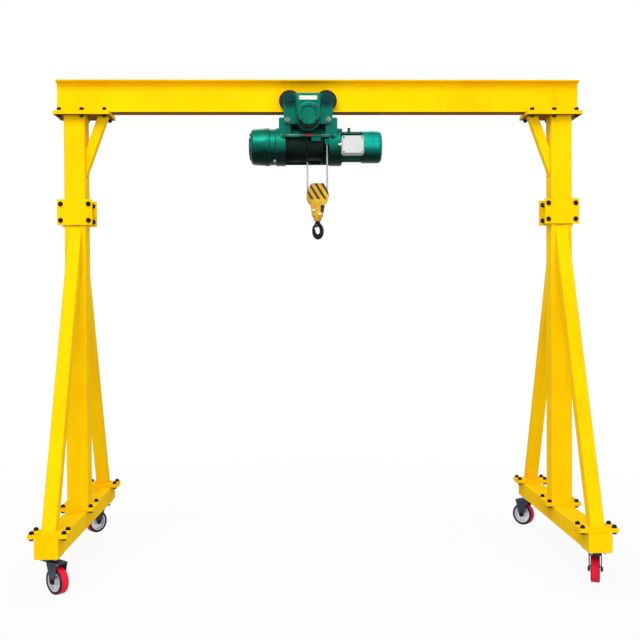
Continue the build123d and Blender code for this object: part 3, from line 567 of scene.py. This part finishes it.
def makeBoltTree():
    inputs = {"Spots": "NodeSocketGeometry", "Hex radius": 0.0139, "Sides": 6, "Nut height": 0.0130,
              "Washer radius": 0.0160, "Washer thickness": 0.003, "Shank radius": 0.0080,
              "Stud length": 0.006, "Grip": 0.024, "Head height": 0.010, "Through": True, "Spin seed": 3,
              "Finish": "NodeSocketMaterial"}
    tree, given, result = newGroup("boltSet", "GeometryNodeTree", inputs, {"Bolts": "NodeSocketGeometry"})
    make, sums = partial(addNode, tree), partial(calc, tree)
    chamfer = {"straight": 0.82, "slope": 0.18, "tip": 0.88}  # shares of a head's height and radius
    washerSides, shankSides = 20, 14

    def lifted(shape, level):
        lift = make("ShaderNodeCombineXYZ", {"Z": level})
        inputs = {"Geometry": shape.outputs["Mesh"], "Translation": lift.outputs[0]}
        return make("GeometryNodeTransform", inputs).outputs[0]

    def disc(sides, radius, bottom, height):
        shape = make("GeometryNodeMeshCylinder", {"Vertices": sides, "Radius": radius, "Depth": height})
        return lifted(shape, sums("ADD", bottom, sums("MULTIPLY", height, 0.5)))

    def chamfered(sides, radius, bottom, height, up):  # hex with its outer corners turned off
        straight = sums("MULTIPLY", height, chamfer["straight"])
        slope = sums("MULTIPLY", height, chamfer["slope"])
        small = sums("MULTIPLY", radius, chamfer["tip"])
        base = bottom if up else sums("ADD", bottom, slope)
        tip = sums("ADD", bottom, straight) if up else bottom
        upper, lower = (small, radius) if up else (radius, small)
        inputs = {"Vertices": sides, "Depth": slope, "Radius Top": upper, "Radius Bottom": lower}
        cone = make("GeometryNodeMeshCone", inputs)
        return [disc(sides, radius, base, straight), lifted(cone, tip)]

    washer = given["Washer thickness"]
    below = sums("MULTIPLY", given["Grip"], -1.0)
    shankTop = sums("ADD", sums("ADD", washer, given["Nut height"]), given["Stud length"])
    underWasher = sums("SUBTRACT", below, washer)
    headBottom = sums("SUBTRACT", underWasher, given["Head height"])
    upper = [disc(washerSides, given["Washer radius"], 0.0, washer),
             disc(shankSides, given["Shank radius"], below, sums("SUBTRACT", shankTop, below))]
    upper += chamfered(given["Sides"], given["Hex radius"], washer, given["Nut height"], True)
    lower = [disc(washerSides, given["Washer radius"], underWasher, washer)]
    lower += chamfered(given["Sides"], given["Hex radius"], headBottom, given["Head height"], False)
    inputs = {"Switch": given["Through"], "True": joined(tree, lower)}
    chosen = make("GeometryNodeSwitch", inputs, input_type="GEOMETRY")
    shape = joined(tree, upper + [chosen.outputs[0]])
    spots = make("GeometryNodeMeshToPoints", {"Mesh": given["Spots"]})
    facing = make("GeometryNodeInputNamedAttribute", {"Name": "facing"}, data_type="FLOAT_VECTOR")
    lined = make("FunctionNodeAlignRotationToVector", {"Vector": facing.outputs[0]}, axis="Z")
    inputs = {2: 0.0, 3: 2 * math.pi, "Seed": given["Spin seed"]}
    chance = make("FunctionNodeRandomValue", inputs, data_type="FLOAT")
    spin = make("FunctionNodeAxisAngleToRotation", {"Axis": (0, 0, 1), "Angle": chance.outputs[1]})
    inputs = {0: lined.outputs[0], 1: spin.outputs[0]}
    turned = make("FunctionNodeRotateRotation", inputs, rotation_space="LOCAL")
    inputs = {"Points": spots.outputs[0], "Instance": shape, "Rotation": turned.outputs[0]}
    placed = make("GeometryNodeInstanceOnPoints", inputs)
    return endTree(tree, given, result, placed.outputs[0])


def evenCurve(tree, mesh, step):
    line = addNode(tree, "GeometryNodeMeshToCurve", {"Mesh": mesh})
    inputs = {"Curve": line.outputs[0], "Length": step}
    return addNode(tree, "GeometryNodeResampleCurve", inputs, mode="LENGTH").outputs[0]


def skinned(tree, curve, sides, radius, scale=1.0):
    ring = addNode(tree, "GeometryNodeCurvePrimitiveCircle", {"Resolution": sides, "Radius": radius})
    inputs = {"Curve": curve, "Profile Curve": ring.outputs["Curve"], "Scale": scale, "Fill Caps": True}
    return addNode(tree, "GeometryNodeCurveToMesh", inputs).outputs[0]


def makeRopeTree():
    inputs = {"Path": "NodeSocketGeometry", "Rope radius": 0.0055, "Strands": 6, "Lay": 0.07, "Step": 0.006,
              "Finish": "NodeSocketMaterial"}
    tree, given, result = newGroup("strandRope", "GeometryNodeTree", inputs, {"Rope": "NodeSocketGeometry"})
    make, sums, vector = partial(addNode, tree), partial(calc, tree), partial(vectorCalc, tree)
    ropeShape = {"strand": 0.345, "coreGap": 0.0012, "sides": 6}  # six strands round a core fill the rope
    even = evenCurve(tree, given["Path"], given["Step"])
    steady = make("GeometryNodeSetCurveNormal", {"Curve": even}, mode="MINIMUM_TWIST").outputs[0]
    inputs = {"Geometry": steady, "Amount": given["Strands"]}
    copies = make("GeometryNodeDuplicateElements", inputs, domain="SPLINE")
    along = make("GeometryNodeSplineParameter").outputs["Length"]
    share = sums("DIVIDE", copies.outputs["Duplicate Index"], given["Strands"])
    turn = sums("MULTIPLY", sums("ADD", share, sums("DIVIDE", along, given["Lay"])), 2 * math.pi)
    strand = sums("MULTIPLY", given["Rope radius"], ropeShape["strand"])
    reach = sums("SUBTRACT", given["Rope radius"], strand)
    side = make("GeometryNodeInputNormal").outputs[0]
    ahead = make("GeometryNodeInputTangent").outputs[0]
    other = vector("CROSS_PRODUCT", ahead, side)
    offset = vector("ADD", vector("SCALE", side, sums("MULTIPLY", sums("COSINE", turn), reach), "Scale"),
                    vector("SCALE", other, sums("MULTIPLY", sums("SINE", turn), reach), "Scale"))
    twisted = make("GeometryNodeSetPosition", {"Geometry": copies.outputs[0], "Offset": offset})
    skin = skinned(tree, twisted.outputs[0], ropeShape["sides"], strand)
    heart = skinned(tree, steady, ropeShape["sides"], sums("SUBTRACT", reach, ropeShape["coreGap"]))
    smooth = make("GeometryNodeSetShadeSmooth", {"Geometry": joined(tree, [skin, heart])})
    return endTree(tree, given, result, smooth.outputs[0])


def makeWeldTree():
    inputs = {"Seam": "NodeSocketGeometry", "Bead radius": 0.004, "Ripple": 0.009, "Unevenness": 0.35,
              "Step": 0.003, "Finish": "NodeSocketMaterial"}
    tree, given, result = newGroup("weldSeam", "GeometryNodeTree", inputs, {"Bead": "NodeSocketGeometry"})
    sums = partial(calc, tree)
    beadShape = {"wave": 0.14, "lumpScale": 70.0, "lumpDetail": 2.0, "sides": 8}
    even = evenCurve(tree, given["Seam"], given["Step"])
    along = addNode(tree, "GeometryNodeSplineParameter").outputs["Length"]
    wave = sums("SINE", sums("MULTIPLY", sums("DIVIDE", along, given["Ripple"]), 2 * math.pi))
    place = addNode(tree, "GeometryNodeInputPosition")
    lumps = noise(tree, place.outputs[0], beadShape["lumpScale"], beadShape["lumpDetail"])
    uneven = sums("MULTIPLY", sums("SUBTRACT", lumps, 0.5), given["Unevenness"])
    size = sums("ADD", sums("ADD", 1.0, sums("MULTIPLY", wave, beadShape["wave"])), uneven)
    skin = skinned(tree, even, beadShape["sides"], given["Bead radius"], size)
    smooth = addNode(tree, "GeometryNodeSetShadeSmooth", {"Geometry": skin})
    return endTree(tree, given, result, smooth.outputs[0])


boltTree = makeBoltTree()
ropeTree = makeRopeTree()
weldTree = makeWeldTree()


def runTree(name, tree, points, edges, values, facings=None):
    base = bpy.data.meshes.new(name + "Base")
    base.from_pydata(points, edges, [])
    if facings:
        marks = base.attributes.new("facing", "FLOAT_VECTOR", "POINT")
        marks.data.foreach_set("vector", [value for facing in facings for value in facing])
    maker = linkNew(name + "Base", base)
    modifier = maker.modifiers.new("maker", "NODES")
    modifier.node_group = tree
    for item in tree.interface.items_tree:
        if item.in_out == "INPUT" and item.name in values:
            modifier[item.identifier] = values[item.name]
    graph = bpy.context.evaluated_depsgraph_get()
    mesh = bpy.data.meshes.new_from_object(maker.evaluated_get(graph))
    bpy.data.objects.remove(maker)
    mesh.name = name
    return linkNew(name, mesh)


def chain(points, closed=False):
    count = len(points)
    return [(step, (step + 1) % count) for step in range(count if closed else count - 1)]


def bolts(name, body, spots, size, finish="boltBlack"):
    points = [spot for spot, facing in spots]
    facings = [facing for spot, facing in spots]
    piece = runTree(name, boltTree, points, [], {**size, "Finish": finishes[finish]}, facings)
    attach(piece, body)


# bolts of the frame
up, down, front, rear, left, right = (0, 0, 1), (0, 0, -1), (0, -1, 0), (0, 1, 0), (-1, 0, 0), (1, 0, 0)
plateBolt = {"Hex radius": 0.0135, "Nut height": 0.0110, "Head height": 0.0085, "Washer radius": 0.0152,
             "Washer thickness": 0.0025, "Shank radius": 0.0080, "Stud length": 0.003, "Grip": 0.024,
             "Through": True, "Sides": 6, "Spin seed": 3}
loneNut = {**plateBolt, "Grip": 0.0, "Stud length": -0.001, "Through": False}  # shank ends under its top
casterBolt = {**loneNut, "Hex radius": 0.0092, "Nut height": 0.0065, "Washer radius": 0.0105,
              "Washer thickness": 0.0016, "Shank radius": 0.005}
frameBolts = {"capHalf": 0.170, "capPitch": 0.138, "capRow": 0.090, "capHead": 0.017, "spliceX": 0.085,
              "spliceZ": 0.050, "plate": 0.012, "footX": 0.085, "braceDepth": 0.136, "braceX": 0.088,
              "braceY": 0.048, "casterX": 0.038, "casterY": 0.052, "casterRace": 0.008, "forkHalf": 0.036}
axleBolt = {**plateBolt, "Hex radius": 0.0130, "Nut height": 0.0055, "Stud length": -0.001,
            "Head height": 0.0050, "Washer thickness": 0.0012, "Shank radius": 0.0085,
            "Grip": 2 * frameBolts["forkHalf"]}
signs = [(x, y) for x in (-1, 1) for y in (-1, 1)]
legX = middleOf("lower_column_right").x
spliceLow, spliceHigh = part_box("column_splice_plates")
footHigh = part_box("leg_foot_plates")[1]


def makeFrameBolts(values):
    capSpots, spliceSpots, lockSpots, footSpots, casterSpots = [], [], [], [], []
    capLow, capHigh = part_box("column_cap_plates")
    spliceMiddle = (spliceLow.z + spliceHigh.z) / 2
    braceMiddle = footHigh.y - values["braceDepth"] / 2
    for side in (-1, 1):
        for step in (-1, 0, 1):
            for row in (-1, 1):
                x = side * (capHigh.x - values["capHalf"] + step * values["capPitch"])
                capSpots.append(((x, row * values["capRow"], capLow.z), down))
        for x, z in signs:
            spot = (side * legX + x * values["spliceX"], spliceMiddle + z * values["spliceZ"])
            spliceSpots.append(((spot[0], spliceLow.y, spot[1]), front))
            lockSpots.append(((spot[0], spliceLow.y + values["plate"], spot[1]), rear))
            lockSpots.append(((spot[0], spliceHigh.y - values["plate"], spot[1]), front))
        for x, y in signs:
            footSpots.append(((side * legX + x * values["footX"], y * values["footX"], footHigh.z), up))
            for face in (-1, 1):
                depth = face * braceMiddle + y * values["braceY"]
                footSpots.append(((side * legX + x * values["braceX"], depth, footHigh.z), up))
    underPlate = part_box("caster_plates")[0].z + values["casterRace"]
    for corner in corners:
        swivel = jointOf(f"caster_turn_{corner}")["pos_m"]
        for x, y in signs:
            spot = (swivel[0] + x * values["casterX"], swivel[1] + y * values["casterY"], underPlate)
            casterSpots.append((spot, down))
    tieGrip = spliceHigh.y - spliceLow.y
    bolts("cap_plate_bolts", "frame", capSpots, {**plateBolt, "Head height": values["capHead"]})
    bolts("foot_plate_bolts", "frame", footSpots, {**plateBolt, "Spin seed": 8})
    bolts("splice_tie_bolts", "frame", spliceSpots, {**plateBolt, "Grip": tieGrip, "Spin seed": 5})
    bolts("splice_lock_nuts", "frame", lockSpots, {**loneNut, "Spin seed": 6})
    bolts("caster_plate_bolts", "frame", casterSpots, casterBolt, "zincSteel")
    for corner in corners:
        outward = axles[corner] if axles[corner].y <= 0 else -axles[corner]
        spot = Vector(jointOf(f"caster_roll_{corner}")["pos_m"]) + outward * values["forkHalf"]
        bolts(f"caster_axle_bolt_{corner}", f"caster_swivel_{corner}", [(spot[:], outward[:])], axleBolt)


makeFrameBolts(frameBolts)
print("frame bolts placed")


# ropes
ropeSize = {"Rope radius": 0.0055, "Strands": 6, "Lay": 0.075, "Step": 0.006}
fallShade = {"ink": (26, 34, 30), "from": 0.116, "fade": 0.014}  # painted shadow near the drum on the leading fall, below the drum's axis
wrapSteps = 36
sheaveMiddle = middleOf("sheave")
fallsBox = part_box("rope_falls")
ropePitch = (fallsBox[1].x - fallsBox[0].x) / 2 - ropeSize["Rope radius"]
ropeLine = middleOf("rope_falls").y


# painted shadow near the drum on the leading fall
def shadeRopeFall(tree, colour):
    spot = axesOf(tree, objectSpot(tree))
    level = fallsBox[1].z - fallShade["from"]
    high = remap(tree, spot["Z"], level - fallShade["fade"], level + fallShade["fade"])
    leading = calc(tree, "LESS_THAN", spot["X"], sheaveMiddle.x)
    return blendColour(tree, calc(tree, "MULTIPLY", high, leading), colour, fallShade["ink"])


finishes["fallSteel"] = makeFinish("fallSteel", looks["ropeSteel"], shadeRopeFall)


def makeRopeFalls():
    points, edges = [], []
    for side in (-1, 1):
        x = sheaveMiddle.x + side * ropePitch
        edges.append((len(points), len(points) + 1))
        points += [(x, ropeLine, fallsBox[1].z), (x, ropeLine, fallsBox[0].z)]
    values = {**ropeSize, "Finish": finishes["fallSteel"]}
    piece = runTree("rope_fall_strands", ropeTree, points, edges, values)
    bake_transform(piece)
    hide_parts("rope_falls")


def makeRopeWrap():
    points = []
    for step in range(wrapSteps + 1):
        turn = math.pi * step / wrapSteps
        points.append((sheaveMiddle.x - ropePitch * math.cos(turn), ropeLine,
                       sheaveMiddle.z - ropePitch * math.sin(turn)))
    values = {**ropeSize, "Finish": finishes["ropeSteel"]}
    piece = runTree("rope_wrap_strands", ropeTree, points, chain(points), values)
    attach(piece, "hook_block")
    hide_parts("rope_wrap")


makeRopeFalls()
makeRopeWrap()


# drum with its rope laid in turns, along X from the trolley's middle
drum = {"barrel": 0.0842, "flange": 0.103, "flangeThick": 0.008, "journal": 0.022, "lead": 0.090,
        "left": -0.150, "right": 0.092, "groove": 0.0016, "leftShaft": 0.209, "ropeGap": 0.004,
        "bareGap": 0.006, "turnSteps": 40, "strandStep": 0.009}
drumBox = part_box("rope_drum")
drumCentre = Vector((0, middleOf("rope_drum").y, middleOf("rope_drum").z))
hoistMiddle = drumBox[0].x + drum["leftShaft"]


def lathe(name, profile, centre, steps=72):  # profile of (along, radius), turned about the X axis
    vertices, faces, rings = [], [], []
    for along, radius in profile:
        count = steps if radius else 1
        rings.append(list(range(len(vertices), len(vertices) + count)))
        for step in range(count):
            turn = 2 * math.pi * step / steps
            vertices.append((centre.x + along, centre.y + radius * math.cos(turn),
                             centre.z + radius * math.sin(turn)))
    for first, second in zip(rings, rings[1:]):
        for step in range(steps):
            after = (step + 1) % steps
            if len(first) == 1:
                faces.append((first[0], second[after], second[step]))
            elif len(second) == 1:
                faces.append((first[step], first[after], second[0]))
            else:
                faces.append((first[step], first[after], second[after], second[step]))
    mesh = bpy.data.meshes.new(name)
    mesh.from_pydata(vertices, [], faces)
    return linkNew(name, mesh)


def makeDrum(values):
    leftEnd, rightEnd = hoistMiddle + values["left"], hoistMiddle + values["right"]
    pitch = 2 * ropeSize["Rope radius"]
    thick, barrel, flange = values["flangeThick"], values["barrel"], values["flange"]
    fall = sheaveMiddle.x - ropePitch
    profile = [(drumBox[0].x, 0), (drumBox[0].x, values["journal"]), (leftEnd, values["journal"]),
               (leftEnd, flange), (leftEnd + thick, flange), (leftEnd + thick, barrel)]
    grooves = int((rightEnd - thick - values["bareGap"] - fall - pitch) / pitch)
    crest = barrel + values["groove"]
    for step in range(grooves):  # bare grooves where no rope lies
        x = fall + pitch * (step + 1)
        profile += [(x - pitch / 2, crest), (x - pitch / 4, barrel), (x + pitch / 4, barrel),
                    (x + pitch / 2, crest)]
    profile += [(rightEnd - thick, barrel), (rightEnd - thick, flange), (rightEnd, flange),
                (rightEnd, values["journal"]), (drumBox[1].x, values["journal"]), (drumBox[1].x, 0)]
    barrelPiece = lathe("grooved_drum", profile, drumCentre)
    barrelPiece.data.materials.append(finishes["shadedDrumRope"])
    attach(barrelPiece, "drum")
    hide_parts("rope_drum")
    start = leftEnd + thick + values["ropeGap"]
    turns = (fall - start) / pitch
    steps = int(turns * values["turnSteps"])
    points = []
    for step in range(steps + 1):
        share = step / steps
        turn = 2 * math.pi * turns * (1 - share)
        points.append((start + (fall - start) * share, drumCentre.y - values["lead"] * math.cos(turn),
                       drumCentre.z + values["lead"] * math.sin(turn)))
    look = {**ropeSize, "Step": values["strandStep"], "Finish": finishes["shadedDrumRope"]}
    coil = runTree("drum_rope_turns", ropeTree, points, chain(points), look)
    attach(coil, "drum")


makeDrum(drum)
print("ropes laid")


# fasteners of the trolley and the hoist, measured from the trolley's middle and the drum's axis
hoist = {"hangerX": 0.126, "plateFace": 0.085, "coverFace": -0.357, "coverRing": 0.078, "flangeFace": 0.204,
         "flangeRing": 0.107, "ringBolts": 8, "fanScrew": 0.3385, "fanRadius": 0.102, "lidInset": 0.012,
         "coverScrews": 4, "glandDepth": 0.25, "glandLevel": 0.53, "motorRing": 0.057, "plugX": -0.208,
         "plugTurn": math.radians(-54), "plugRadius": 0.118}
hangerNut = {**loneNut, "Hex radius": 0.0205, "Nut height": 0.0160, "Washer radius": 0.0220,
             "Washer thickness": 0.003, "Shank radius": 0.0118}
coverBolt = {**loneNut, "Hex radius": 0.0092, "Nut height": 0.0068, "Washer radius": 0.0100,
             "Washer thickness": 0.0014, "Shank radius": 0.004}
smallScrew = {**loneNut, "Hex radius": 0.0050, "Sides": 14, "Nut height": 0.0032, "Washer radius": 0.0060,
              "Washer thickness": 0.0008, "Shank radius": 0.002}
cableGland = {**coverBolt, "Hex radius": 0.0110, "Nut height": 0.0090, "Washer radius": 0.0115,
              "Washer thickness": 0.003, "Shank radius": 0.0055, "Stud length": 0.010}


def ringX(along, radius, count, facing=None):  # spots round the drum's axis, facing out unless told
    spots = []
    for step in range(count):
        turn = 2 * math.pi * step / count + math.pi / count
        away = (0, math.cos(turn), math.sin(turn))
        spot = (hoistMiddle + along, drumCentre.y + radius * away[1], drumCentre.z + radius * away[2])
        spots.append((spot, facing or away))
    return spots


def makeHoistFasteners(values):
    hangerZ = middleOf("hanger_rods").z
    spots = [((hoistMiddle + x * values["hangerX"], y * values["plateFace"], hangerZ), (0, y, 0))
             for x, y in signs]
    bolts("hanger_rod_nuts", "trolley", spots, hangerNut, "dullZinc")
    spots = ringX(values["coverFace"], values["coverRing"], values["ringBolts"], left)
    bolts("gear_cover_bolts", "trolley", spots, coverBolt)
    spots = ringX(values["flangeFace"], values["flangeRing"], values["ringBolts"], right)
    bolts("motor_flange_bolts", "trolley", spots, coverBolt)
    count = values["coverScrews"]
    bolts("fan_cover_screws", "trolley", ringX(values["fanScrew"], values["fanRadius"], count), smallScrew)
    low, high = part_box("control_box")
    inset = values["lidInset"]
    spots = [((x, low.y, z), front) for x in (low.x + inset, high.x - inset)
             for z in (low.z + inset, high.z - inset)]
    bolts("control_lid_screws", "trolley", spots, smallScrew, "dullZinc")
    depth, level = values["glandDepth"], values["glandLevel"]
    gland = (low.x, low.y * (1 - depth) + high.y * depth, low.z * (1 - level) + high.z * level)
    bolts("control_box_gland", "trolley", [(gland, left)], cableGland, "plateCream")
    middle = middleOf("travel_motor")
    spots = []
    for step in range(count):
        turn = math.pi / count + 2 * math.pi / count * step
        spots.append(((middle.x + values["motorRing"] * math.cos(turn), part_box("travel_motor")[0].y,
                       middle.z + values["motorRing"] * math.sin(turn)), front))
    bolts("travel_motor_screws", "trolley", spots, smallScrew)
    away = Vector((0, -math.cos(values["plugTurn"]), math.sin(values["plugTurn"])))
    plug = Vector((hoistMiddle + values["plugX"], drumCentre.y, drumCentre.z)) + away * values["plugRadius"]
    bolts("oil_drain_plug", "trolley", [(plug[:], away[:])], coverBolt, "zincSteel")


makeHoistFasteners(hoist)


# a loop with rounded corners, in the plane of two directions
def roundedLoop(centre, along, across, halfAlong, halfAcross, corner, steps):
    points = []
    for quarter, (x, y) in enumerate([(1, 1), (-1, 1), (-1, -1), (1, -1)]):
        for step in range(steps + 1):
            turn = math.pi / 2 * (quarter + step / steps)
            first = Vector(along) * (x * (halfAlong - corner) + corner * math.cos(turn))
            second = Vector(across) * (y * (halfAcross - corner) + corner * math.sin(turn))
            points.append((Vector(centre) + first + second)[:])
    return points


# blank plate on the travel gear case
casePlate = {"width": 0.112, "height": 0.025, "thick": 0.0012, "level": 2.836, "corner": 0.004,
             "cornerSteps": 4, "face": -0.135, "rivet": 0.049}
caseRivet = {**smallScrew, "Hex radius": 0.0025, "Nut height": 0.0012, "Washer radius": 0.0026,
             "Washer thickness": 0.0003, "Shank radius": 0.001}


def makeCasePlate(values):
    outer = values["face"] - values["thick"]
    points = []
    for y in (values["face"], outer):
        points += roundedLoop((hoistMiddle, y, values["level"]), right, up, values["width"] / 2,
                              values["height"] / 2, values["corner"], values["cornerSteps"])
    count = len(points) // 2
    faces = [tuple(reversed(range(count))), tuple(range(count, 2 * count))]
    faces += [(first, second, second + count, first + count)
              for first, second in chain(points[:count], True)]
    mesh = bpy.data.meshes.new("blank_case_plate")
    mesh.from_pydata(points, [], faces)
    mesh.materials.append(finishes["plateCream"])
    piece = linkNew("blank_case_plate", mesh)
    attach(piece, "trolley")
    spots = [((hoistMiddle + side * values["rivet"], outer, values["level"]), front) for side in (-1, 1)]
    bolts("case_plate_rivets", "trolley", spots, caseRivet, "dullZinc")


makeCasePlate(casePlate)


# hook block bolts, the rear cheek being turned round; the bolts' cream finish is a painted highlight
blockBolts = {"places": [(-0.024, -0.090), (0.012, -0.114)], "face": 0.028}
blockBolt = {**coverBolt, "Hex radius": 0.0075, "Washer radius": 0.0085}
blockSpots = []
for x, z in blockBolts["places"]:
    for side in (-1, 1):
        spot = (sheaveMiddle.x - side * x, ropeLine + side * blockBolts["face"], sheaveMiddle.z + z)
        blockSpots.append((spot, (0, side, 0)))
bolts("hook_block_bolts", "hook_block", blockSpots, blockBolt, "plateCream")
print("hoist fasteners placed")


# weld beads where tubes meet plates
weld = {"Bead radius": 0.0035, "Ripple": 0.009, "Unevenness": 0.35, "Step": 0.005}
tubes = {"column": 0.065, "brace": 0.040, "knee": 0.030, "kneeLean": math.radians(20), "kneeInset": 0.167,
         "corner": 0.009, "cornerSteps": 3}
weldLoop = partial(roundedLoop, corner=tubes["corner"], steps=tubes["cornerSteps"])


def weldLoops(side):
    x = side * legX
    column, brace, knee, lean = tubes["column"], tubes["brace"], tubes["knee"], tubes["kneeLean"]
    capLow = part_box("column_cap_plates")[0].z
    footY = footHigh.y - frameBolts["braceDepth"] / 2
    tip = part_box("leg_braces_right")[1].z
    run, rise = footY - column, tip - footHigh.z
    braceLean = math.atan2(run, rise) + math.asin(brace / math.hypot(run, rise))
    loops = [weldLoop((x, 0, footHigh.z), right, rear, column, column),
             weldLoop((x, 0, capLow), right, rear, column, column)]
    for face in (-1, 1):
        foot, half = brace / math.cos(braceLean), brace / math.sin(braceLean)
        loops.append(weldLoop((x, face * footY, footHigh.z), right, rear, brace, foot))
        loops.append(weldLoop((x, face * column, tip - half), right, up, brace, half))
    head = legX - tubes["kneeInset"]
    fall = (legX - column - head) / math.tan(lean)
    loops.append(weldLoop((side * head, 0, capLow), right, rear, knee / math.cos(lean), knee))
    foot = (side * (legX - column), 0, capLow - fall)
    loops.append(weldLoop(foot, rear, up, knee, knee / math.sin(lean)))
    return loops


def makeWelds():
    points, edges = [], []
    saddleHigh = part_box("beam_saddle_plates")[1]
    inner = saddleHigh.x - 2 * frameBolts["capHalf"]
    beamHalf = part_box("main_beam")[1].y
    for side in (-1, 1):
        for loop in weldLoops(side):
            start = len(points)
            points += loop
            edges += [(start + first, start + second) for first, second in chain(loop, True)]
        for face in (-1, 1):
            edges.append((len(points), len(points) + 1))
            points += [(side * x, face * beamHalf, saddleHigh.z) for x in (inner, saddleHigh.x)]
    piece = runTree("weld_beads", weldTree, points, edges, {**weld, "Finish": finishes["frameYellow"]})
    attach(piece, "frame")


makeWelds()
print("welds laid")
